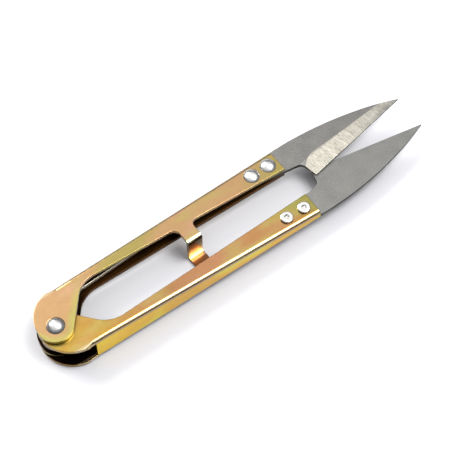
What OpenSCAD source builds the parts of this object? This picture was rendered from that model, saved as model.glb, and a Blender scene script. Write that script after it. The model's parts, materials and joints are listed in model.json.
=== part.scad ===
/* [Part to draw] */
// Which named piece to draw, or all of them together

/* [Handles] */
// Hinge axis to the front end of a handle
handle_len = 66.4; // [65.8:0.2:70]
// Hinge axis to the outer face of a handle's spine
spine_off = 8.1; // [7.6:0.1:8.8]
// Thickness of the sheet steel
sheet_t = 0.85; // [0.7:0.05:0.95]
// Outside radius of the folds along the spine
fold_r = 1.1; // [1:0.05:1.3]
// Height of a handle over its ears
rear_h = 7.2; // [6.8:0.1:8]
// Where the handle starts to get lower, measured from the hinge axis
taper_start = 9; // [8:0.5:12]
// Where the spine wall starts, measured from the hinge axis
wall_start = 5.3; // [4.5:0.1:6]
// Distance of the plates' inner edge from the hinge line, extended back to the hinge
edge_at_hinge = 6.4; // [6.2:0.1:6.8]
// How much the inner edge comes in for each millimetre forward
edge_slope = 0.066; // [0.06:0.001:0.075]
// Half of the angle between the open handles, in degrees
open_half = 1.7; // [1.4:0.1:2.2]

/* [Ears] */
// Radius of the ear round the hinge
lobe_r = 4.1; // [3.9:0.1:4.4]
// Radius of the handle's rounded rear corner
rear_r = 8.1; // [7:0.1:8.4]
// How far the rear corner stands out past the spine
ear_flare = 0.15; // [0:0.05:0.5]
// Direction of the ear's front edge, in degrees from the spine
ear_lean = 48; // [45:1:52]
// Radius between the ear's front edge and the plate's inner edge
ear_fillet = 7; // [5:0.5:8]

/* [Stop tab] */
// Distance of the tab's middle from the hinge axis
tab_x = 37.8; // [34:0.2:42]
// Width of the tab
tab_w = 3.9; // [3:0.1:5]
// Radius where the tab leaves the plate
tab_fillet = 1.6; // [1:0.1:2]
// How far the tab's outer face stands past the hinge line
tab_reach = 0.95; // [0.6:0.05:1.4]
// Length of the foot, measured from the tab's outer face
foot_len = 5.8; // [5.4:0.1:6.2]
// Outside radius of the tab's two bends
tab_bend = 1; // [0.9:0.05:1.2]

/* [Blades] */
// Thickness of a blade
blade_t = 1; // [0.9:0.05:1.1]
// Gap between the flat faces of the two blades
blade_gap = 0.04; // [0.03:0.01:0.1]
// Hinge axis to the tip of a blade
tip_x = 101.4; // [96:0.2:104]
// Distance of the tip from the handle's own centre line
tip_y = 1.4; // [1.2:0.05:1.8]
// Hinge axis to the heel of the cutting edge
heel_x = 71.8; // [71.5:0.1:73]
// How far the heel stands past the handle's own centre line
heel_drop = 3.15; // [2.6:0.05:3.4]
// Radius of the back edge
back_r = 95; // [92:0.5:100]
// Radius of the throat in front of the handle
throat_r = 1.9; // [1.2:0.1:2.1]
// Width of the ground bevel at the heel
bevel_w = 4.5; // [4:0.1:4.8]
// Thickness left at the cutting edge
edge_t = 0.4; // [0.3:0.05:0.5]
// Thickness of the blade 24 mm in front of the heel
thin_t = 0.76; // [0.7:0.02:0.88]

/* [Blade rivets] */
// Hinge axis to the front rivet
rivet_front_x = 63.7; // [62.5:0.1:63.9]
// Hinge axis to the rear rivet
rivet_rear_x = 58.8; // [57.5:0.1:59]
// Distance of both rivets from the handle's own centre line
rivet_y = 5.05; // [4.7:0.05:5.3]
// Width of a rivet's domed head
rivet_head_d = 3.9; // [3.6:0.1:4.2]
// Height of the domed head
rivet_head_h = 0.85; // [0.7:0.05:1.2]
// Width of the rolled end
rivet_tail_d = 3.1; // [2.8:0.1:3.4]
// Height of the rolled end
rivet_tail_h = 0.6; // [0.5:0.05:0.8]
// Width of the shank
rivet_d = 2.2; // [1.8:0.1:2.4]

/* [Hinge rivet] */
// Width of the shank the handles turn on
pin_d = 3; // [2.6:0.1:3.4]
// Width of the domed head
pin_head_d = 4.3; // [4:0.1:5.2]
// Height of the domed head
pin_head_h = 1.15; // [0.9:0.05:1.5]
// Width of the flattened end underneath
pin_tail_d = 5.2; // [4.6:0.1:5.6]
// Thickness of the flattened end
pin_tail_h = 0.3; // [0.25:0.05:0.5]
// Gap round every shank in its hole
hole_gap = 0.05; // [0.03:0.01:0.08]

/* [Spring] */
// Thickness of the spring wire
wire_d = 0.9; // [0.7:0.05:0.95]
// Radius of the coil, to the middle of the wire
coil_r = 3.2; // [2.9:0.1:3.4]
// Whole turns of the coil, besides the part turn between the legs
coil_turns = 2; // [1:1:2]
// Gap between one turn and the next
turn_gap = 0.05; // [0.03:0.01:0.1]
// Where a leg meets the spine, measured from the hinge axis
leg_near = 9; // [8.5:0.5:11]
// Where a leg ends, measured from the hinge axis
leg_end = 27; // [20:1:30]
// How far each leg comes back towards the middle by its end
leg_rise = 0.4; // [0.3:0.1:0.8]

/* [Hidden] */
$fn = 72;
gold = [0.84, 0.66, 0.35];
grey = [0.56, 0.56, 0.54];
silver = [0.82, 0.82, 0.82];
wire_grey = [0.6, 0.58, 0.54];
seat_gap = 0.075;
front_h = blade_t + 2 * (sheet_t + seat_gap);
half_apart = (blade_t + blade_gap) / 2;
mid_z = pin_tail_h + rear_h / 2 + half_apart;
taper = (rear_h - front_h) / 2 / (handle_len - taper_start);
taper_deg = atan(taper);
far = 20;
past = 1;
// Where a fold has its full rounding, a little behind the wall's rear end, and the length
// and slope with which the rounding dies away behind that
fold_start = wall_start - 0.3;
fold_fade = 4;
fade_deg = 15;
// How deep one part of a piece reaches into the next, so they join
bite = 0.12;

// Half the handle's height at a distance x in front of the hinge
function half_h(x) = rear_h / 2 - taper * max(0, x - taper_start);
// The plates' inner edge at a distance x in front of the hinge
function inner_y(x) = edge_at_hinge - edge_slope * x;
function unit(v) = v / norm(v);
// Centre of a circle of radius r touching both edges that leave a corner along a and b
function fillet_mid(corner, a, b, r) =
    let (half = acos(unit(a) * unit(b)) / 2)
    corner + unit(unit(a) + unit(b)) * r / sin(half);
// Where that circle touches the edge along a
function fillet_end(corner, a, b, r) =
    let (half = acos(unit(a) * unit(b)) / 2)
    corner + unit(a) * r / tan(half);

// ---------- the two places a handle's pieces are built into ----------

module as_upper() {
    translate([0, 0, mid_z + half_apart])
        rotate([0, 0, open_half])
            children();
}

module as_lower() {
    translate([0, 0, mid_z - half_apart])
        rotate([180, 0, 0])
            rotate([0, 0, open_half])
                children();
}

// ---------- handle outline, seen from above ----------

ear_dir = [cos(ear_lean), sin(ear_lean)];
ear_side = [sin(ear_lean), -cos(ear_lean)];
ear_foot = lobe_r * ear_side;
edge_dir = unit([1, -edge_slope]);
ear_run = (inner_y(ear_foot[0]) - ear_foot[1]) / (ear_dir[1] + edge_slope * ear_dir[0]);
ear_corner = ear_foot + ear_run * ear_dir;
rear_mid = [rear_r - lobe_r, spine_off + ear_flare - rear_r];

module plate_outline() {
    circle(r = lobe_r);
    intersection() {
        translate(rear_mid)
            circle(r = rear_r, $fn = 144);
        translate([-far, rear_mid[1]])
            square([far + wall_start, far]);
    }
    difference() {
        polygon([
            [-lobe_r, 0],
            ear_foot,
            fillet_end(ear_corner, -ear_dir, edge_dir, ear_fillet),
            fillet_end(ear_corner, edge_dir, -ear_dir, ear_fillet),
            [handle_len, inner_y(handle_len)],
            [handle_len, spine_off],
            [rear_mid[0], spine_off],
            rear_mid,
            [-lobe_r, rear_mid[1]]
        ]);
        translate(fillet_mid(ear_corner, -ear_dir, edge_dir, ear_fillet))
            circle(r = ear_fillet, $fn = 144);
    }
}

// The flat root of the tab, with its two rounded corners
module tab_outline() {
    left = tab_x - tab_w / 2;
    right = tab_x + tab_w / 2;
    left_corner = [left, inner_y(left)];
    right_corner = [right, inner_y(right)];
    difference() {
        polygon([
            [left, fold_y],
            [right, fold_y],
            fillet_end(right_corner, [0, -1], edge_dir, tab_fillet),
            fillet_end(right_corner, edge_dir, [0, -1], tab_fillet),
            [right + tab_fillet, spine_off - fold_r],
            [left - tab_fillet, spine_off - fold_r],
            fillet_end(left_corner, -edge_dir, [0, -1], tab_fillet),
            fillet_end(left_corner, [0, -1], -edge_dir, tab_fillet)
        ]);
        translate(fillet_mid(left_corner, -edge_dir, [0, -1], tab_fillet))
            circle(r = tab_fillet);
        translate(fillet_mid(right_corner, edge_dir, [0, -1], tab_fillet))
            circle(r = tab_fillet);
    }
}

// ---------- handle sheet ----------

// Everything between the handle's two outer surfaces, less a skin of the given thickness
module height_slab(skin) {
    top = rear_h / 2 - skin;
    front = handle_len + past;
    rotate([90, 0, 0])
        translate([0, 0, -far])
            linear_extrude(2 * far)
                polygon([
                    [-far, -top],
                    [taper_start, -top],
                    [front, skin - half_h(front)],
                    [front, half_h(front) - skin],
                    [taper_start, top],
                    [-far, top]
                ]);
}

// The square corner taken off a fold, from x0 to x1. Its top line starts at a height z0
// and falls by drop_deg
module fold_corner(x0, z0, x1, drop_deg) {
    translate([x0, spine_off - fold_r, z0])
        rotate([0, drop_deg, 0])
            translate([0, 0, -fold_r])
                difference() {
                    cube([x1 - x0, fold_r + past, fold_r + past]);
                    translate([-past, 0, 0])
                        rotate([0, 90, 0])
                            cylinder(r = fold_r, h = x1 - x0 + 2 * past);
                }
}

// The rounding starts on the ear, where it dies away, and runs to the handle's front end
module fold_corners() {
    top = rear_h / 2;
    fade_top = top + fold_fade * tan(fade_deg);
    intersection() {
        fold_corner(fold_start - fold_fade, fade_top, fold_start + past, fade_deg);
        translate([fold_start + bite - far, -far, -far])
            cube([far, 2 * far, 2 * far]);
    }
    fold_corner(fold_start, top, taper_start, 0);
    fold_corner(taper_start, top, handle_len + past, taper_deg);
}

// Room between the plates: open to the inside, and right through behind the wall
module channel_room() {
    intersection() {
        height_slab(sheet_t);
        union() {
            translate([-far, -far, -far])
                cube([far + handle_len + past, far + spine_off - sheet_t, 2 * far]);
            translate([-far, -far, -far])
                cube([far + wall_start, 2 * far, 2 * far]);
        }
    }
}

module handle_holes() {
    translate([0, 0, -far])
        cylinder(d = pin_d + 2 * hole_gap, h = 2 * far);
    for (x = [rivet_front_x, rivet_rear_x])
        translate([x, rivet_y, -far])
            cylinder(d = rivet_d + 2 * hole_gap, h = 2 * far);
}

module handle_sheet() {
    difference() {
        intersection() {
            translate([0, 0, -far])
                linear_extrude(2 * far)
                    plate_outline();
            height_slab(0);
        }
        channel_room();
        fold_corners();
        mirror([0, 0, 1])
            fold_corners();
        handle_holes();
    }
}

// ---------- stop tab, on the upper handle only ----------

tab_top = half_h(tab_x);
foot_low = -mid_z - half_apart;
tab_join = tab_top / 2;
tab_shift = (tab_top - tab_join) * sin(taper_deg);
fold_y = tab_bend - tab_reach;

// What a bend takes off the outside corner at the origin of a shape in the first quadrant
module corner_cut(r) {
    difference() {
        translate([-past, -past])
            square(r + past);
        translate([r, r])
            circle(r = r);
    }
}

// Turns a shape drawn in y and z into a strip as wide as the tab
module across_tab() {
    translate([-tab_w / 2, 0, 0])
        rotate([90, 0, 90])
            linear_extrude(tab_w)
                children();
}

// The upper bend and the upper half of the face, square to the sloping plate
module tab_upper() {
    face_end = tab_join - tab_top - bite;
    translate([tab_x, 0, tab_top])
        rotate([0, taper_deg, 0])
            across_tab()
                difference() {
                    polygon([
                        [-tab_reach, face_end],
                        [-tab_reach, 0],
                        [fold_y, 0],
                        [fold_y, -bite],
                        [fold_y + 2 * bite, -bite],
                        [fold_y + 2 * bite, bite - sheet_t],
                        [fold_y, bite - sheet_t],
                        [fold_y, -sheet_t],
                        [sheet_t - tab_reach, -sheet_t],
                        [sheet_t - tab_reach, face_end]
                    ]);
                    translate([-tab_reach, 0])
                        mirror([0, 1])
                            corner_cut(tab_bend);
                }
}

// The lower half of the face, the lower bend and the level foot
module tab_lower() {
    translate([tab_x - tab_shift, 0, 0])
        across_tab()
            difference() {
                polygon([
                    [-tab_reach, tab_join],
                    [-tab_reach, foot_low + sheet_t],
                    [-tab_reach - foot_len, foot_low + sheet_t],
                    [-tab_reach - foot_len, foot_low],
                    [sheet_t - tab_reach, foot_low],
                    [sheet_t - tab_reach, tab_join]
                ]);
                translate([sheet_t - tab_reach, foot_low])
                    mirror([1, 0])
                        corner_cut(tab_bend);
            }
}

module stop_tab() {
    intersection() {
        linear_extrude(far)
            tab_outline();
        difference() {
            height_slab(0);
            height_slab(sheet_t);
        }
    }
    tab_upper();
    tab_lower();
}

module upper_handle() {
    color(gold)
        as_upper() {
            handle_sheet();
            stop_tab();
        }
}

module lower_handle() {
    color(gold)
        as_lower()
            handle_sheet();
}

// ---------- blade ----------

tang_x = 55.4;
tang_y = spine_off - sheet_t - 0.25;
back_y = spine_off + 0.05;
shoulder_x = handle_len + 0.1;
heel = [heel_x, -heel_drop];
tip = [tip_x, tip_y];
throat_corner = [heel_x - 0.95, 1.1];
throat_in = unit([-4.6, 0.8]);
throat_out = unit(heel - throat_corner);
tang_low = throat_corner + throat_in * (throat_corner[0] - tang_x) / -throat_in[0];

module blade_outline() {
    difference() {
        intersection() {
            polygon([
                tang_low,
                fillet_end(throat_corner, throat_in, throat_out, throat_r),
                fillet_end(throat_corner, throat_out, throat_in, throat_r),
                heel,
                tip,
                [tip_x, back_y],
                [shoulder_x, back_y],
                [shoulder_x, tang_y],
                [tang_x, tang_y]
            ]);
            translate([shoulder_x, back_y - back_r])
                circle(r = back_r, $fn = 720);
        }
        translate(fillet_mid(throat_corner, throat_in, throat_out, throat_r))
            circle(r = throat_r);
    }
}

edge_deg = atan2(tip_y + heel_drop, tip_x - heel_x);
edge_run = norm(tip - heel);
bevel_rise = (blade_t - edge_t) / bevel_w;
thin_slope = (blade_t - thin_t) / 24;

// Metal ground away along the cutting edge
module bevel_cut() {
    low = edge_t - blade_t / 2;
    translate([heel[0], heel[1], 0])
        rotate([0, 0, edge_deg])
            rotate([90, 0, 90])
                translate([0, 0, -5])
                    linear_extrude(edge_run + 10)
                        polygon([
                            [-5, low - 5 * bevel_rise],
                            [far, low + far * bevel_rise],
                            [-5, far]
                        ]);
}

// Metal taken off the top towards the tip
module thinning_cut() {
    rotate([90, 0, 0])
        translate([0, 0, -far])
            linear_extrude(2 * far)
                polygon([
                    [heel_x, blade_t / 2],
                    [heel_x + 2 * far, blade_t / 2 - 2 * far * thin_slope],
                    [heel_x + 2 * far, blade_t],
                    [heel_x, blade_t]
                ]);
}

module blade() {
    difference() {
        translate([0, 0, -blade_t / 2])
            linear_extrude(blade_t)
                blade_outline();
        bevel_cut();
        thinning_cut();
        for (x = [rivet_front_x, rivet_rear_x])
            translate([x, rivet_y, -blade_t])
                cylinder(d = rivet_d + 2 * hole_gap, h = 2 * blade_t);
    }
}

module upper_blade() {
    color(grey)
        as_upper()
            blade();
}

module lower_blade() {
    color(grey)
        as_lower()
            blade();
}

// ---------- rivets ----------

// A dome of the given width and height, standing on z = 0
module dome(wide, high) {
    ball_r = (wide * wide / 4 + high * high) / (2 * high);
    intersection() {
        translate([0, 0, high - ball_r])
            sphere(r = ball_r);
        cylinder(d = wide, h = high);
    }
}

// The rolled end: a rounded ring with a dimple in the middle, standing on z = 0
module rolled_end() {
    ring_r = rivet_tail_h / 2;
    ring_mid = rivet_tail_d / 2 - ring_r;
    difference() {
        union() {
            cylinder(r = ring_mid, h = rivet_tail_h);
            rotate_extrude()
                translate([ring_mid, ring_r])
                    circle(r = ring_r);
        }
        translate([0, 0, rivet_tail_h * 0.3])
            cylinder(r1 = rivet_tail_d * 0.1, r2 = rivet_tail_d * 0.24, h = rivet_tail_h);
    }
}

module blade_rivet(x) {
    head_z = half_h(x - rivet_head_d / 2);
    tail_z = half_h(x - rivet_tail_d / 2);
    translate([x, rivet_y, 0]) {
        translate([0, 0, head_z])
            dome(rivet_head_d, rivet_head_h);
        translate([0, 0, -tail_z - bite])
            cylinder(d = rivet_d, h = head_z + tail_z + 2 * bite);
        translate([0, 0, -tail_z])
            mirror([0, 0, 1])
                rolled_end();
    }
}

module upper_front_rivet() {
    color(silver)
        as_upper()
            blade_rivet(rivet_front_x);
}

module upper_rear_rivet() {
    color(silver)
        as_upper()
            blade_rivet(rivet_rear_x);
}

module lower_front_rivet() {
    color(silver)
        as_lower()
            blade_rivet(rivet_front_x);
}

module lower_rear_rivet() {
    color(silver)
        as_lower()
            blade_rivet(rivet_rear_x);
}

module hinge_rivet() {
    shank_top = mid_z + half_apart + rear_h / 2;
    color(silver) {
        cylinder(d = pin_tail_d, h = pin_tail_h);
        cylinder(d = pin_d, h = shank_top + bite);
        translate([0, 0, shank_top])
            dome(pin_head_d, pin_head_h);
    }
}

// ---------- torsion spring ----------

wire_r = wire_d / 2;
wall_gap = 0.03;
wall_y = spine_off - sheet_t - wall_gap - wire_r;
leg_bend = [leg_near, wall_y];
leave_deg = atan2(wall_y, leg_near) + acos(coil_r / norm(leg_bend)) + open_half;
coil_sweep = 360 * coil_turns + 360 - 2 * leave_deg;
coil_half = (wire_d + turn_gap) * coil_sweep / 720;
coil_steps = 32 * coil_turns;
bend_r = 2;

// A point in the upper handle's own plan, as the open handle places it
function opened(p) =
    [p[0] * cos(open_half) - p[1] * sin(open_half), p[0] * sin(open_half) + p[1] * cos(open_half)];
into_coil = unit(coil_r * [cos(leave_deg - open_half), sin(leave_deg - open_half)] - leg_bend);
// The upper leg, in plan: from its end, round the small bend, towards the coil
leg_plan = concat(
    [[leg_end, wall_y]],
    [for (k = [0:4])
        let (near = leg_bend + bend_r * (1 - k / 4) * [1, 0])
        let (after = leg_bend + bend_r * k / 4 * into_coil)
        near * (1 - k / 4) + after * k / 4]
);
// How far above the coil's end a leg runs at a distance x in front of the hinge
function lift(x) = leg_rise * max(0, x - leg_near) / (leg_end - leg_near);
upper_leg = [for (p = leg_plan) concat(opened(p), lift(p[0]) - coil_half)];
lower_leg = [for (k = [len(upper_leg) - 1:-1:0])
    [upper_leg[k][0], -upper_leg[k][1], -upper_leg[k][2]]];
coil = [for (k = [0:coil_steps])
    let (a = leave_deg + coil_sweep * k / coil_steps)
    [coil_r * cos(a), coil_r * sin(a), coil_half * (2 * k / coil_steps - 1)]];
wire_path = concat(upper_leg, coil, lower_leg);

// A round wire swept along a path that never runs straight up
module swept_wire(path, r, sides) {
    last = len(path) - 1;
    rings = [for (k = [0:last], j = [0:sides - 1])
        let (along = unit(path[min(k + 1, last)] - path[max(k - 1, 0)]))
        let (level = unit(cross([0, 0, 1], along)))
        let (up = cross(along, level))
        path[k] + r * (cos(360 * j / sides) * level + sin(360 * j / sides) * up)];
    walls = [for (k = [0:last - 1], j = [0:sides - 1])
        let (next = (j + 1) % sides)
        [k * sides + next, k * sides + j, (k + 1) * sides + j, (k + 1) * sides + next]];
    start_cap = [for (j = [0:sides - 1]) j];
    end_cap = [for (j = [sides - 1:-1:0]) last * sides + j];
    polyhedron(points = rings, faces = concat(walls, [start_cap], [end_cap]));
}

module torsion_spring() {
    color(wire_grey)
        translate([0, 0, mid_z])
            swept_wire(wire_path, wire_r, 14);
}

// ---------- drawing ----------

upper_handle();
lower_handle();
upper_blade();
lower_blade();
upper_front_rivet();
upper_rear_rivet();
lower_front_rivet();
lower_rear_rivet();
hinge_rivet();
torsion_spring();
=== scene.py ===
"""Thread snips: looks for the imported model. Metres, in the model's own frame."""
import json
import math

import bmesh
import bpy
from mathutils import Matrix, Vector


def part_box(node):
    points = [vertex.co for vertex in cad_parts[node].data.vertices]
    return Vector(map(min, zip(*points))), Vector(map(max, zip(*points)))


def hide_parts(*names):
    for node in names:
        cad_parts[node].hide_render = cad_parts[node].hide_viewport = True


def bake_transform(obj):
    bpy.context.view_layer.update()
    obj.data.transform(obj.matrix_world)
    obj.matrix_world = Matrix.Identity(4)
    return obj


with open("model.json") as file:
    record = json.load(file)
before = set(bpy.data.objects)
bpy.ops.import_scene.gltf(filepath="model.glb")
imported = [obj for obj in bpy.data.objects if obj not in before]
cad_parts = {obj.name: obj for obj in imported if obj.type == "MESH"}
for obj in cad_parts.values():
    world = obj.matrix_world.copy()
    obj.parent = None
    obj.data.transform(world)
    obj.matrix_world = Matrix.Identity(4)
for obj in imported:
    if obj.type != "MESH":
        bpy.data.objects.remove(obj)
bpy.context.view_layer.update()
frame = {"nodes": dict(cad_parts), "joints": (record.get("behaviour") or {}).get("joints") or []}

MM = 0.001

# ---------- places read from the frame ----------

HINGE = Vector(frame["joints"][0]["pos_m"])
FRONT_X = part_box("upper_handle")[1].x
UPPER_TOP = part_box("upper_handle")[1].z
LOWER_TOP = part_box("lower_handle")[1].z
LOWER_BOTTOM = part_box("lower_handle")[0].z
REAR_H = LOWER_TOP - LOWER_BOTTOM
UPPER_MID = UPPER_TOP - REAR_H / 2
LOWER_MID = LOWER_BOTTOM + REAR_H / 2
UPPER_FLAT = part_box("upper_blade")[0].z
LOWER_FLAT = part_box("lower_blade")[1].z

# ---------- the handles' and blades' proportions, as in the CAD ----------

OPEN_HALF = math.radians(1.7)
SPINE_OFF = 8.1 * MM
SHEET_T = 0.85 * MM
FOLD_R = 1.1 * MM
TAPER_START = 9 * MM
TAPER = math.tan(math.radians(2.17))
EDGE_AT_HINGE = 6.4 * MM
EDGE_SLOPE = 0.066
LOBE_R = 4.1 * MM
EAR_LEAN = math.radians(48)
TAB_X = 37.8 * MM
TAB_TOP = 2.1 * MM
TAB_SPAN = 10 * MM
BEVEL_W = 5.1 * MM
BEVEL_NARROWS = 0.105
BEVEL_START = 4 * MM


def opened(x, y):
    """A point of a half's own plan, where the half stands when the snips are open."""
    return Vector((x * math.cos(OPEN_HALF) - y * math.sin(OPEN_HALF),
                   x * math.sin(OPEN_HALF) + y * math.cos(OPEN_HALF)))


HEEL = opened(71.8 * MM, -3.15 * MM)
EDGE_TIP = opened(101.4 * MM, 1.4 * MM)
EDGE_TURN = math.atan2(EDGE_TIP.y - HEEL.y, EDGE_TIP.x - HEEL.x)


# ---------- node helpers ----------

class Nodes:
    """A material's or world's node tree, with short calls for the nodes used here."""

    def __init__(self, owner, shader):
        owner.use_nodes = True
        self.owner = owner
        self.tree = owner.node_tree
        self.shader = self.tree.nodes[shader]

    def add(self, kind, **settings):
        node = self.tree.nodes.new(kind)
        for key, value in settings.items():
            setattr(node, key, value)
        return node

    def feed(self, socket, value):
        if isinstance(value, bpy.types.NodeSocket):
            self.tree.links.new(value, socket)
        else:
            socket.default_value = value

    def math(self, operation, a, b=0.0, c=0.0, clamp=False):
        node = self.add("ShaderNodeMath", operation=operation, use_clamp=clamp)
        for socket, value in zip(node.inputs, (a, b, c)):
            self.feed(socket, value)
        return node.outputs[0]

    def product(self, *values):
        """All the values multiplied; of masks, the place where all of them are."""
        total = values[0]
        for value in values[1:]:
            total = self.math("MULTIPLY", total, value)
        return total

    def rest_of(self, mask):
        return self.math("SUBTRACT", 1.0, mask)

    def choose(self, mask, a, b):
        """a where the mask is 1, b where it is 0."""
        return self.math("ADD", self.product(mask, a), self.product(self.rest_of(mask), b))

    def weighed(self, a, share, b):
        """A share of a, and b for the rest."""
        return self.math("MULTIPLY_ADD", a, share, self.math("MULTIPLY", b, 1 - share))

    def ramp01(self, value, low, high):
        """0 below low, 1 above high, smooth between."""
        node = self.add("ShaderNodeMapRange", interpolation_type="SMOOTHSTEP")
        self.feed(node.inputs["Value"], value)
        self.feed(node.inputs["From Min"], low)
        self.feed(node.inputs["From Max"], high)
        return node.outputs["Result"]

    def position(self):
        return self.add("ShaderNodeTexCoord").outputs["Object"]

    def axes(self, vector):
        node = self.add("ShaderNodeSeparateXYZ")
        self.feed(node.inputs[0], vector)
        return node.outputs

    def turned(self, a, b, turn):
        """Two plan coordinates, in axes turned by an angle."""
        c, s = math.cos(turn), math.sin(turn)
        return (self.math("ADD", self.product(a, c), self.product(b, s)),
                self.math("SUBTRACT", self.product(b, c), self.product(a, s)))

    def mapped(self, vector, scale, turn=(0, 0, 0)):
        node = self.add("ShaderNodeMapping")
        self.feed(node.inputs["Vector"], vector)
        node.inputs["Rotation"].default_value = turn
        node.inputs["Scale"].default_value = scale
        return node.outputs[0]

    def stroked(self, vector, turn, length):
        """Place turned about Z, then drawn out along its own Y."""
        node = self.add("ShaderNodeMapping", vector_type="TEXTURE")
        self.feed(node.inputs["Vector"], vector)
        node.inputs["Rotation"].default_value = (0, 0, turn)
        node.inputs["Scale"].default_value = (1, length, 1)
        return node.outputs[0]

    def noise(self, vector, scale, detail=3.0, rough=0.5):
        node = self.add("ShaderNodeTexNoise")
        self.feed(node.inputs["Vector"], vector)
        node.inputs["Scale"].default_value = scale
        node.inputs["Detail"].default_value = detail
        node.inputs["Roughness"].default_value = rough
        return node.outputs["Fac"]

    def wander(self, width, scale, detail):
        """A noise that strays by half the width to either side of 0."""
        stray = self.noise(self.position(), scale, detail)
        return self.math("MULTIPLY_ADD", stray, width, -width / 2)

    def mix(self, factor, a, b, blend="MIX"):
        node = self.add("ShaderNodeMix", data_type="RGBA", blend_type=blend)
        self.feed(node.inputs["Factor"], factor)
        for socket, value in zip((node.inputs[6], node.inputs[7]), (a, b)):
            self.feed(socket, value if isinstance(value, bpy.types.NodeSocket) else (*value, 1))
        return node.outputs[2]

    def colours(self, value, stops):
        node = self.add("ShaderNodeValToRGB")
        self.feed(node.inputs[0], value)
        ramp = node.color_ramp
        ramp.elements[0].position, ramp.elements[0].color = stops[0][0], (*stops[0][1], 1)
        ramp.elements[1].position, ramp.elements[1].color = stops[-1][0], (*stops[-1][1], 1)
        for place, colour in stops[1:-1]:
            ramp.elements.new(place).color = (*colour, 1)
        return node.outputs[0]

    def level_faces(self):
        """1 on faces that look up or down, 0 on upright ones."""
        normal = self.add("ShaderNodeNewGeometry").outputs["True Normal"]
        return self.math("GREATER_THAN", self.math("ABSOLUTE", self.axes(normal)[2]), 0.7)

    def metal(self, colour, rough):
        """Bare metal of this colour and roughness."""
        self.feed(self.shader.inputs["Base Color"], colour)
        self.feed(self.shader.inputs["Roughness"], rough)
        self.shader.inputs["Metallic"].default_value = 1.0

    def bump(self, height, distance, strength=1.0, rounding=0.0):
        """Fine relief, over edges that shade as if rounded by the given radius."""
        node = self.add("ShaderNodeBump")
        if rounding:
            edges = self.add("ShaderNodeBevel", samples=6)
            edges.inputs["Radius"].default_value = rounding
            self.feed(node.inputs["Normal"], edges.outputs[0])
        node.inputs["Strength"].default_value = strength
        node.inputs["Distance"].default_value = distance
        self.feed(node.inputs["Height"], height)
        self.feed(self.shader.inputs["Normal"], node.outputs[0])


def surface(name):
    return Nodes(bpy.data.materials.new(name), "Principled BSDF")


# ---------- colours ----------

# How much brighter than white the studio's light is on the metal
STUDIO = 2.05


def linear(r, g, b):
    """A metal's own colour, from how it looks on screen, 0 to 255, in the studio's light."""
    def one(v):
        v /= 255
        return (v / 12.92 if v <= 0.04045 else ((v + 0.055) / 1.055) ** 2.4) / STUDIO
    return (one(r), one(g), one(b))


PEACH = linear(222, 178, 126)
OLIVE = linear(200, 180, 106)
ORANGE = linear(216, 170, 78)
# Painted highlight on the fold's bend
FOLD_HIGHLIGHT = linear(244, 230, 196)
AMBER = linear(212, 160, 90)
TAN = linear(202, 148, 98)
ROSE = linear(218, 158, 114)
PINK = linear(230, 180, 142)
GREEN = linear(212, 202, 116)
MOSS = linear(168, 158, 84)
# Brown: dark spots, and painted shade in the channel; the next colour, near black, is painted shade in the
# channel by the hinge
BROWN = linear(104, 68, 30)
DEEP_SHADE = linear(34, 20, 12)
# Painted light on the stop tab: a pale painted highlight on its upper bend, a painted glint on its face
# and painted shade on its far foot
TAB_BEND_HIGHLIGHT = (0.78, 0.70, 0.42)
GLINT = (0.95, 0.68, 0.30)
FOOT_SHADE = (0.09, 0.035, 0.015)

# The casts that run along each handle, as shares of its length
UPPER_CASTS = [(0.0, PEACH), (0.14, PEACH), (0.24, OLIVE), (0.40, OLIVE), (0.52, PEACH),
               (0.85, PEACH), (0.97, OLIVE)]
LOWER_CASTS = [(0.0, ORANGE), (0.09, ORANGE), (0.2, AMBER), (0.42, TAN), (0.6, ROSE),
               (0.92, AMBER), (1.0, MOSS)]
# And the painted reflections and shade down the stop tab's face, round its lower bend and along its foot
TAB_PAINTED_LIGHT = [(0.0, (0.05, 0.03, 0.012)), (0.2, (0.16, 0.09, 0.03)), (0.38, (0.42, 0.25, 0.08)),
             (0.48, (0.90, 0.62, 0.25)), (0.64, GLINT), (0.67, (0.10, 0.045, 0.015)),
             (0.71, (0.46, 0.25, 0.13)), (0.76, (0.12, 0.05, 0.02)), (1.0, FOOT_SHADE)]

UPPER_STEEL = [(0.3, linear(118, 116, 112)), (0.7, linear(160, 158, 153))]
LOWER_STEEL = [(0.3, linear(122, 122, 118)), (0.7, linear(162, 161, 156))]
BRIGHT_BEVEL = [(0.34, linear(176, 172, 157)), (0.64, linear(226, 221, 206))]
DIM_BEVEL = [(0.34, linear(134, 132, 124)), (0.64, linear(172, 170, 161))]
BLADE_BACK = linear(104, 101, 96)
BLADE_CUT = linear(46, 43, 38)
NICKEL = [(0.35, (0.47, 0.465, 0.445)), (0.7, (0.56, 0.555, 0.535))]
# Dark spring steel, its brown-gold tint a painted reflection of the gold handles round it
WIRE_STEEL = [(0.3, (0.24, 0.21, 0.15)), (0.7, (0.46, 0.43, 0.35))]


# ---------- the handles: yellow passivated zinc ----------

SKIN = 0.05 * MM            # masks reach this far past the sheet's inner faces
TAB_ROOT = 1.5 * MM         # further in from the plate's edge than this is the tab, not the channel
TAB_CLEAR = 3.2 * MM        # the tab's painted reflections and shade begin this far in from that edge
TAB_HALF = 3 * MM
TAB_FADE = 0.15 * MM
TAB_BEND_FADE = 0.3 * MM
TAB_FOOT = -1 * MM          # where the foot sets off from the tab's face
EAR_FADE = 7 * MM
EAR_END = 12 * MM
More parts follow.
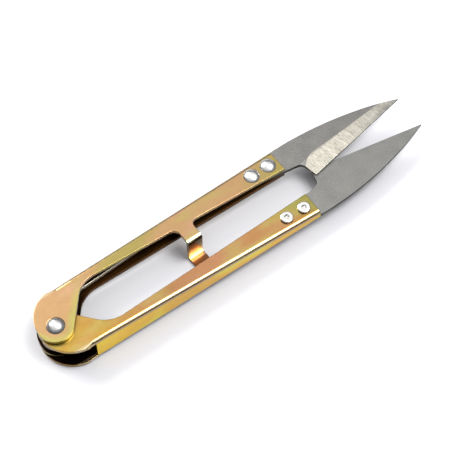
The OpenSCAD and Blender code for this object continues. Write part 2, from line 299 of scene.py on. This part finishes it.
# painted shade in the channel turns from near black to brown by here
DEEP_SHADE_END = 14 * MM
CUT_TOP = -0.5 * MM         # the lower plate's cut edge, painted dark as shade, lies below this, is this wide and starts here
CUT_WIDTH = 0.25 * MM
CUT_START = 8 * MM
WALL_FADE = 0.35 * MM
WALL_DEPTH = 0.3 * MM
RIM_W = 2.3 * MM
RIM_EDGE = 0.2 * MM
RIM_STRAY = 1.6 * MM
EAR_TURN = (-3 * MM, 1 * MM)    # the rim turns from round the hinge to straight over this stretch
CAST_MIDDLE = 5 * MM        # the casts slant: they come sooner inside of this line
CAST_SLANT = 20
CAST_STRAY = 0.16
FOLD_LIGHT = 0.55           # how far the fold's bend goes to cream, a painted highlight

PATCHES = dict(scale=170, detail=1.5, rough=0.45)
TINTS = dict(scale=190, detail=1.5, rough=0.45)
SPOTS = dict(scale=2400, detail=3.0, rough=0.6)
PATCH_EDGES = (0.48, 0.72)
TINT_EDGES = (0.5, 0.74)
TINT_SHARE = 0.55
SPOT_EDGES = (0.5, 0.8)
SPOT_SHARE = 0.14
GRAIN = dict(scale=8000, detail=2.0, rough=0.6)
SMEAR = dict(scale=900, detail=4.0, rough=0.6)


def handle_places(n, side, mid_z):
    """Places in a handle's own terms: along it, out towards its spine, up from its middle."""
    x, y, z = n.axes(n.position())
    out = n.math("MULTIPLY", y, side)
    along = n.math("MULTIPLY_ADD", out, math.sin(OPEN_HALF), x)
    out = n.math("MULTIPLY_ADD", x, -math.sin(OPEN_HALF), out)
    return along, out, n.math("SUBTRACT", z, mid_z)


def taper_drop(n, along):
    """How far each plate has come in from its height at the rear."""
    past = n.math("MAXIMUM", n.math("SUBTRACT", along, TAPER_START), 0.0)
    return n.math("MULTIPLY", past, TAPER)


def plate_edge(n, along):
    """How far out the plates' inner edge lies."""
    return n.math("SUBTRACT", EDGE_AT_HINGE, n.math("MULTIPLY", along, EDGE_SLOPE))


def channel_shade_mask(n, along, out, up):
    """Where painted shade goes: 1 on the faces that look into the folded channel and on the lower plate's
    cut edge, 0 on the faces outside.
    """
    room = n.math("SUBTRACT", REAR_H / 2 - SHEET_T, taper_drop(n, along))
    between = n.math("LESS_THAN", n.math("ABSOLUTE", up), n.math("ADD", room, SKIN))
    inner = n.math("LESS_THAN", out, SPINE_OFF - SHEET_T + SKIN)
    edge = plate_edge(n, along)
    off_tab = n.math("GREATER_THAN", out, n.math("SUBTRACT", edge, TAB_ROOT))
    at_ear = n.math("LESS_THAN", along, EAR_END)
    lining = n.product(between, inner, n.math("MAXIMUM", off_tab, at_ear))
    shaded_cut_edge = n.product(n.math("LESS_THAN", up, CUT_TOP),
                         n.math("LESS_THAN", out, n.math("ADD", edge, CUT_WIDTH)),
                         off_tab, n.math("GREATER_THAN", along, CUT_START))
    return n.math("MAXIMUM", lining, shaded_cut_edge)


def spine_wall(n, along, out, up):
    """1 on the outer face of the spine, 0 elsewhere."""
    wall_top = n.math("SUBTRACT", REAR_H / 2 - FOLD_R, taper_drop(n, along))
    past = n.math("SUBTRACT", n.math("ABSOLUTE", up), wall_top)
    level = n.rest_of(n.ramp01(past, 0.0, WALL_FADE))
    return n.product(level, n.math("GREATER_THAN", out, SPINE_OFF - WALL_DEPTH))


def stop_tab(n, along, out, up):
    """Two masks: the face and foot of the tab folded down from the plate, and its upper bend."""
    past_root = n.math("LESS_THAN", out, n.math("SUBTRACT", plate_edge(n, along), TAB_CLEAR))
    near = n.math("LESS_THAN", n.math("ABSOLUTE", n.math("SUBTRACT", along, TAB_X)), TAB_HALF)
    low = n.rest_of(n.ramp01(up, TAB_TOP - TAB_FADE, TAB_TOP + TAB_FADE))
    bend = n.product(n.ramp01(out, TAB_BEND_FADE, -TAB_BEND_FADE), n.rest_of(low))
    return n.product(past_root, near, low), n.product(past_root, near, bend)


def ear_rim(n, along, out):
    """1 along the ear's rim, 0 in its middle."""
    ahead, inward = n.turned(along, out, EAR_LEAN)
    across = n.math("MULTIPLY", inward, -1.0)
    round_hinge = n.math("SQRT", n.math("ADD", n.product(along, along), n.product(out, out)))
    reach = n.choose(n.ramp01(ahead, *EAR_TURN), across, round_hinge)
    reach = n.math("ADD", reach, n.wander(RIM_STRAY, 160, 1.0))
    return n.product(n.ramp01(reach, LOBE_R - RIM_W, LOBE_R - RIM_EDGE),
                     n.rest_of(n.ramp01(along, EAR_FADE, EAR_END)))


def casts(n, place, along, out, stops, pink, rim):
    """The casts along the handle, with pink and green clouds, a green rim and dark spots."""
    share = n.math("MULTIPLY_ADD", along, 1 / FRONT_X, n.wander(CAST_STRAY, 55, 1.0))
    share = n.math("MULTIPLY_ADD", n.math("SUBTRACT", CAST_MIDDLE, out), CAST_SLANT, share)
    colour = n.colours(n.math("MAXIMUM", share, 0.0), stops)
    patches = n.noise(n.mapped(place, (0.5, 1.3, 1)), **PATCHES)
    colour = n.mix(n.product(n.ramp01(patches, *PATCH_EDGES), pink), colour, PINK)
    tints = n.noise(n.mapped(place, (0.45, 1.3, 1), (0.4, 0.2, 0.3)), **TINTS)
    colour = n.mix(n.product(n.ramp01(tints, *TINT_EDGES), TINT_SHARE), colour, GREEN)
    colour = n.mix(n.product(ear_rim(n, along, out), rim), colour, GREEN)
    spots = n.noise(n.mapped(place, (0.3, 1, 1)), **SPOTS)
    return n.mix(n.product(n.ramp01(spots, *SPOT_EDGES), SPOT_SHARE), colour, BROWN)


def fold_light(n, colour, along, out, up, wall):
    """The wall's colour multiplied by the wall factor, which on the lower handle is painted light, and a
    painted cream highlight along the fold's bend.
    """
    on_wall = spine_wall(n, along, out, up)
    colour = n.mix(on_wall, colour, wall, "MULTIPLY")
    bend = n.product(n.ramp01(out, SPINE_OFF - 0.9 * FOLD_R, SPINE_OFF - 0.5 * FOLD_R),
                     n.math("SUBTRACT", FOLD_LIGHT, n.product(on_wall, FOLD_LIGHT)))
    return n.mix(bend, colour, FOLD_HIGHLIGHT)


def painted_tab_light(n, colour, along, out, up, tab):
    """Painted reflections and shade on the stop tab, which run down its face and on along its foot, and a
    painted pale highlight on its upper bend.
    """
    onward = n.math("MAXIMUM", n.math("SUBTRACT", TAB_FOOT, out), 0.0)
    run = n.math("ADD", n.math("SUBTRACT", TAB_TOP, up), onward)
    on_tab, on_bend = stop_tab(n, along, out, up)
    colour = n.mix(n.product(on_bend, tab), colour, TAB_BEND_HIGHLIGHT)
    return n.mix(n.product(on_tab, tab), colour, n.colours(n.product(run, 1 / TAB_SPAN), TAB_PAINTED_LIGHT))


def yellow_zinc(name, side, mid_z, stops, pink, rim, wall, tab):
    """Yellow passivated zinc: pink, orange and green casts outside, painted shade in brown and near black
    in the channel, and painted highlights and reflections on the fold, lower wall and stop tab.
    """
    n = surface(name)
    place = n.position()
    along, out, up = handle_places(n, side, mid_z)
    colour = casts(n, place, along, out, stops, pink, rim)
    colour = fold_light(n, colour, along, out, up, wall)
    colour = painted_tab_light(n, colour, along, out, up, tab)
    # painted shade in the channel: near black by the hinge, brown further forward
    painted_shade = n.mix(n.ramp01(along, EAR_FADE, DEEP_SHADE_END), DEEP_SHADE, BROWN)
    inside = channel_shade_mask(n, along, out, up)
    grain = n.noise(n.mapped(place, (0.05, 1, 1)), **GRAIN)
    smear = n.noise(place, **SMEAR)
    rough = n.math("ADD", n.math("MULTIPLY_ADD", smear, 0.14, 0.17), n.product(inside, 0.2))
    n.metal(n.mix(inside, colour, painted_shade), rough)
    n.bump(n.math("ADD", n.product(grain, 0.3), smear), 0.01 * MM, 0.25, rounding=0.2 * MM)
    return n.owner


# tab: the share of the stop tab's painted reflections and shade
UPPER_ZINC = dict(side=1, mid_z=UPPER_MID, stops=UPPER_CASTS, pink=0.8, rim=0.85,
                  wall=(1, 1, 1), tab=1.0)
# The lower handle's wall colour is multiplied brighter: painted light from the bright floor the wall faces
LOWER_ZINC = dict(side=-1, mid_z=LOWER_MID, stops=LOWER_CASTS, pink=0.3, rim=0.2,
                  wall=(2.5, 2.9, 1.05), tab=0.0)


# ---------- the blades: matte grey steel with a ground bevel ----------

THROAT_DIP = 1.8 * MM
BORDER_STRAY = 0.16 * MM
BORDER_BLUR = 0.06 * MM
BEVEL_RISE = 0.2 * MM       # the bevel lies at least this far from the blade's flat face
CUT_REACH = 0.15 * MM       # side faces nearer the cutting edge than this are its cut face
DIM_FROM = 10 * MM
DIM_TO = 27 * MM
EDGE_DIM = (0.3 * MM, 1.6 * MM)
STROKE_TURN = math.radians(19)
STROKE_LENGTH = 22          # how many times longer than wide the grinding marks are
POLISH_LENGTH = 8

MOTTLE = dict(scale=3200, detail=3.0, rough=0.7)
CLOUD = dict(scale=200, detail=2.0)
STROKES = dict(scale=6500, detail=2.0, rough=0.6)
POLISH = dict(scale=900, detail=2.0)


def blade_places(n, side):
    """Places in a blade's own terms: forward from the heel along the edge, and in from it."""
    x, y, z = n.axes(n.position())
    out = n.math("MULTIPLY", y, side)
    ahead, inward = n.turned(n.math("SUBTRACT", x, HEEL.x), n.math("SUBTRACT", out, HEEL.y), EDGE_TURN)
    return ahead, inward, z


def ground_mask(n, ahead, inward, z, flat_z, up):
    """1 on the ground bevel. Its border starts at the throat in a curve and narrows forward."""
    start = n.math("MULTIPLY", n.math("SUBTRACT", BEVEL_START, ahead), 1 / BEVEL_START, clamp=True)
    border = n.math("SUBTRACT", n.math("MULTIPLY_ADD", ahead, -BEVEL_NARROWS, BEVEL_W),
                    n.product(start, start, THROAT_DIP))
    edge = n.math("SUBTRACT", n.math("ADD", border, n.wander(BORDER_STRAY, 900, 2.0)), inward)
    rise = n.math("MULTIPLY", n.math("SUBTRACT", z, flat_z), up)
    return n.product(n.ramp01(edge, -BORDER_BLUR, BORDER_BLUR),
                     n.math("GREATER_THAN", rise, BEVEL_RISE), n.level_faces())


def bevel_colour(n, shine, ahead, inward):
    """Bright near the throat, duller towards the tip and along the edge."""
    far = n.ramp01(ahead, DIM_FROM, DIM_TO)
    near_edge = n.rest_of(n.ramp01(inward, *EDGE_DIM))
    dimmer = n.product(far, n.math("MULTIPLY_ADD", near_edge, 0.5, 0.5))
    return n.mix(dimmer, n.colours(shine, BRIGHT_BEVEL), n.colours(shine, DIM_BEVEL))


def flat_colour(n, tone, inward, tones):
    """Mottled grey on the faces, darker on the back edge and darkest on the cut edge."""
    side_face = n.rest_of(n.level_faces())
    cut_face = n.product(side_face, n.math("LESS_THAN", inward, CUT_REACH))
    steel = n.mix(side_face, n.colours(tone, tones), BLADE_BACK)
    return n.mix(cut_face, steel, BLADE_CUT)


def blade_steel(name, side, flat_z, up, tones):
    """Matte grey hardened steel with a bright bevel ground along the cutting edge."""
    n = surface(name)
    place = n.position()
    ahead, inward, z = blade_places(n, side)
    ground = ground_mask(n, ahead, inward, z, flat_z, up)
    mottle = n.noise(place, **MOTTLE)
    steel = flat_colour(n, n.weighed(mottle, 0.7, n.noise(place, **CLOUD)), inward, tones)
    strokes = n.noise(n.stroked(place, STROKE_TURN * side, STROKE_LENGTH), **STROKES)
    polish = n.noise(n.stroked(place, STROKE_TURN * side, POLISH_LENGTH), **POLISH)
    bright = bevel_colour(n, n.weighed(strokes, 0.6, polish), ahead, inward)
    matte_rough = n.math("MULTIPLY_ADD", mottle, 0.12, 0.38)
    ground_rough = n.math("MULTIPLY_ADD", strokes, 0.16, 0.2)
    n.metal(n.mix(ground, steel, bright), n.choose(ground, ground_rough, matte_rough))
    n.bump(n.choose(ground, strokes, mottle), 0.02 * MM, 0.35)
    return n.owner


# ---------- the rivets and the spring's wire ----------

def bright_rivet():
    """Nickel plated steel, polished, with faint scuffs."""
    n = surface("rivet_bright")
    place = n.position()
    scuffs = n.noise(n.mapped(place, (1, 1, 0.4)), 2600, 3.0, 0.6)
    colour = n.colours(n.noise(place, 700, 2.0), NICKEL)
    n.metal(colour, n.math("MULTIPLY_ADD", scuffs, 0.2, 0.16))
    n.bump(scuffs, 0.01 * MM, 0.2)
    return n.owner


def spring_steel():
    """Drawn spring wire, satin and finely marked, tinted brown-gold as a painted reflection of the gold
    handles round it.
    """
    n = surface("spring_wire_drawn")
    marks = n.noise(n.position(), 3000, 3.0, 0.6)
    n.metal(n.colours(marks, WIRE_STEEL), n.math("MULTIPLY_ADD", marks, 0.15, 0.25))
    n.bump(marks, 0.01 * MM, 0.3)
    return n.owner


# ---------- the carried-over nodes ----------

BLADE_ROUNDING = 0.04 * MM
RIVET_ROUNDING = 0.05 * MM
RIVETS = ("upper_front_rivet", "upper_rear_rivet", "lower_front_rivet", "lower_rear_rivet",
          "hinge_rivet")


def soften(node, width):
    """Rounds the sharp edges of a node's shown shape by a hair, as tumbling or plating does."""
    piece = frame["nodes"][node]
    weld = piece.modifiers.new("weld", "WELD")
    weld.merge_threshold = 0.001 * MM
    bevel = piece.modifiers.new("edges", "BEVEL")
    bevel.width = width
    bevel.segments = 3
    bevel.limit_method = "ANGLE"
    bevel.angle_limit = math.radians(30)
    bevel.harden_normals = True
    bevel.use_clamp_overlap = True
    return piece


def paint(piece, material):
    piece.data.materials.clear()
    piece.data.materials.append(material)


def dress_nodes():
    paint(frame["nodes"]["upper_handle"], yellow_zinc("zinc_upper", **UPPER_ZINC))
    paint(frame["nodes"]["lower_handle"], yellow_zinc("zinc_lower", **LOWER_ZINC))
    paint(soften("upper_blade", BLADE_ROUNDING),
          blade_steel("blade_upper", 1, UPPER_FLAT, 1, UPPER_STEEL))
    paint(soften("lower_blade", BLADE_ROUNDING),
          blade_steel("blade_lower", -1, LOWER_FLAT, -1, LOWER_STEEL))
    bright = bright_rivet()
    for node in RIVETS:
        paint(soften(node, RIVET_ROUNDING), bright)


# ---------- the spring, as one smooth wire whose legs lie along their handles -------

WIRE_R = 0.45 * MM
COIL_R = 3.2 * MM
COIL_TURNS = 2
TURN_GAP = 0.05 * MM
LEG_NEAR = 9 * MM
LEG_END = 27 * MM
LEG_RISE = 0.4 * MM
LEG_GAP = 0.03 * MM
LEG_Y = SPINE_OFF - SHEET_T - LEG_GAP - WIRE_R
BEND_R = 2 * MM
STRAIGHT_STEPS = 24
BEND_STEPS = 8
LEAD_STEPS = 10
TURN_STEPS = 80
WIRE_SIDES = 20
CAP_TURNS = [math.radians(a) for a in (75, 50, 25)]


def leg_plan(touch):
    """One leg in its half's own plan: from its end along the wall, round the bend, to the coil."""
    bend = Vector((LEG_NEAR, LEG_Y))
    into = (touch - bend).normalized()
    end = Vector((LEG_END - WIRE_R, LEG_Y))
    plan = [end.lerp(bend + Vector((BEND_R, 0)), k / STRAIGHT_STEPS) for k in range(STRAIGHT_STEPS)]
    for k in range(BEND_STEPS + 1):
        share = k / BEND_STEPS
        near = bend + Vector((BEND_R * (1 - share), 0))
        plan.append(near.lerp(bend + BEND_R * share * into, share))
    lead = bend + BEND_R * into
    return plan + [lead.lerp(touch, k / LEAD_STEPS) for k in range(1, LEAD_STEPS)]


def leg_lift(x):
    return LEG_RISE * max(0.0, x - LEG_NEAR) / (LEG_END - LEG_NEAR)


def wire_path():
    """The middle line of the wire: upper leg, coil, lower leg. Heights are from the coil's middle."""
    bend = Vector((LEG_NEAR, LEG_Y))
    leave = math.atan2(LEG_Y, LEG_NEAR) + math.acos(COIL_R / bend.length) + OPEN_HALF
    sweep = 2 * math.pi * (COIL_TURNS + 1) - 2 * leave
    half = (2 * WIRE_R + TURN_GAP) * sweep / (4 * math.pi)
    touch = COIL_R * Vector((math.cos(leave - OPEN_HALF), math.sin(leave - OPEN_HALF)))
    upper = [Vector((*opened(p.x, p.y), leg_lift(p.x) - half)) for p in leg_plan(touch)]
    steps = TURN_STEPS * COIL_TURNS
    coil = []
    for k in range(steps + 1):
        turn = leave + sweep * k / steps
        coil.append(Vector((COIL_R * math.cos(turn), COIL_R * math.sin(turn), half * (2 * k / steps - 1))))
    lower = [Vector((p.x, -p.y, -p.z)) for p in reversed(upper)]
    return upper + coil + lower


def ring(mesh, middle, along, radius):
    """A ring of the wire's skin round a point of its middle line."""
    level = Vector((0, 0, 1)).cross(along).normalized()
    rise = along.cross(level)
    turns = [2 * math.pi * j / WIRE_SIDES for j in range(WIRE_SIDES)]
    return [mesh.verts.new(middle + radius * (math.cos(t) * level + math.sin(t) * rise)) for t in turns]


def wire_rings(mesh, path, radius):
    """The rings along the wire, with three narrowing ones at each rounded end."""
    last = len(path) - 1
    ways = [(path[min(k + 1, last)] - path[max(k - 1, 0)]).normalized() for k in range(last + 1)]
    rings = [ring(mesh, path[0] - ways[0] * radius * math.sin(a), ways[0], radius * math.cos(a))
             for a in CAP_TURNS]
    rings += [ring(mesh, point, way, radius) for point, way in zip(path, ways)]
    rings += [ring(mesh, path[last] + ways[last] * radius * math.sin(a), ways[last],
                   radius * math.cos(a)) for a in reversed(CAP_TURNS)]
    return rings


def swept_wire(name, path, radius):
    """A round wire along a path, with rounded ends."""
    mesh = bmesh.new()
    rings = wire_rings(mesh, path, radius)
    for one, two in zip(rings, rings[1:]):
        for j in range(WIRE_SIDES):
            k = (j + 1) % WIRE_SIDES
            mesh.faces.new((one[k], one[j], two[j], two[k]))
    mesh.faces.new(rings[0])
    mesh.faces.new(list(reversed(rings[-1])))
    bmesh.ops.recalc_face_normals(mesh, faces=mesh.faces)
    data = bpy.data.meshes.new(name)
    mesh.to_mesh(data)
    mesh.free()
    for face in data.polygons:
        face.use_smooth = True
    piece = bpy.data.objects.new(name, data)
    bpy.context.scene.collection.objects.link(piece)
    return piece


def spring():
    middle = Vector((0, 0, HINGE.z))
    path = [point + middle for point in wire_path()]
    piece = swept_wire("spring_wire", path, WIRE_R)
    paint(piece, spring_steel())
    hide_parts("torsion_spring")
    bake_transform(piece)


# ---------- floor, light and camera ----------

MIDDLE = Vector((0.05, 0, 0))

FLOOR_SIDE = 3.0
FLOOR_COLOUR = (0.475, 0.475, 0.49, 1)

# The surroundings' colour by the sine of the height, and how bright they are
SKY_LEVELS = [(0.0, (0.06, 0.06, 0.07)), (0.30, (0.10, 0.10, 0.105)), (0.55, (0.30, 0.30, 0.315)),
              (0.80, (0.72, 0.72, 0.756)), (1.0, (0.9, 0.9, 0.9))]
SKY_STRENGTH = 1.9
SKY_SLOPE = 0.8

AZIMUTH = math.radians(36.54)
ELEVATION = math.radians(58.41)
DISTANCE = 0.35
SENSOR_W = 36
LENS = 120.425
LENS_SHIFT = (-0.0291, -0.0142)


def floor():
    half = FLOOR_SIDE / 2
    mesh = bpy.data.meshes.new("floor")
    mesh.from_pydata([(-half, -half, 0), (half, -half, 0), (half, half, 0), (-half, half, 0)],
                     [], [(0, 1, 2, 3)])
    sheet = bpy.data.objects.new("floor", mesh)
    bpy.context.scene.collection.objects.link(sheet)
    n = surface("floor_white")
    n.shader.inputs["Base Color"].default_value = FLOOR_COLOUR
    n.shader.inputs["Roughness"].default_value = 0.9
    n.shader.inputs["Specular IOR Level"].default_value = 0.1
    mesh.materials.append(n.owner)


def softbox(name, place, size, power, colour=(1, 1, 1)):
    """A rectangular lamp that faces the middle of the snips."""
    data = bpy.data.lights.new(name, "AREA")
    data.shape = "RECTANGLE"
    data.size, data.size_y = size
    data.energy = power
    data.color = colour
    lamp = bpy.data.objects.new(name, data)
    lamp.location = place
    lamp.rotation_euler = (MIDDLE - lamp.location).to_track_quat("-Z", "Y").to_euler()
    bpy.context.scene.collection.objects.link(lamp)


def sky():
    """Studio surroundings: bright overhead and on the far side, dim towards the horizon."""
    world = bpy.data.worlds.new("studio")
    bpy.context.scene.world = world
    n = Nodes(world, "Background")
    x, y, z = n.axes(n.add("ShaderNodeTexCoord").outputs["Generated"])
    beyond = n.math("ADD", n.product(x, math.sin(AZIMUTH)), n.product(y, math.cos(AZIMUTH)))
    n.feed(n.shader.inputs["Color"], n.colours(z, SKY_LEVELS))
    n.feed(n.shader.inputs["Strength"], n.math("MULTIPLY_ADD", beyond, SKY_SLOPE, SKY_STRENGTH))


def light():
    softbox("key", place=(-0.10, 0.60, 0.52), size=(0.5, 0.36), power=9.5, colour=(1.0, 0.99, 0.97))
    softbox("window", place=(0.28, -0.17, 0.66), size=(0.38, 0.40), power=5.6)
    sky()


def camera():
    data = bpy.data.cameras.new("camera")
    data.sensor_width = SENSOR_W
    data.lens = LENS
    data.shift_x, data.shift_y = LENS_SHIFT
    data.clip_start, data.clip_end = 0.01, 20
    eye = bpy.data.objects.new("camera", data)
    bpy.context.scene.collection.objects.link(eye)
    back = Vector((-math.sin(AZIMUTH) * math.cos(ELEVATION),
                   -math.cos(AZIMUTH) * math.cos(ELEVATION), math.sin(ELEVATION)))
    eye.location = MIDDLE + Vector((0, 0, HINGE.z)) + back * DISTANCE
    eye.rotation_mode = "QUATERNION"
    eye.rotation_quaternion = (-back).to_track_quat("-Z", "Y")
    bpy.context.scene.camera = eye


dress_nodes()
spring()
floor()
light()
camera()
bpy.context.scene.view_settings.view_transform = "Standard"
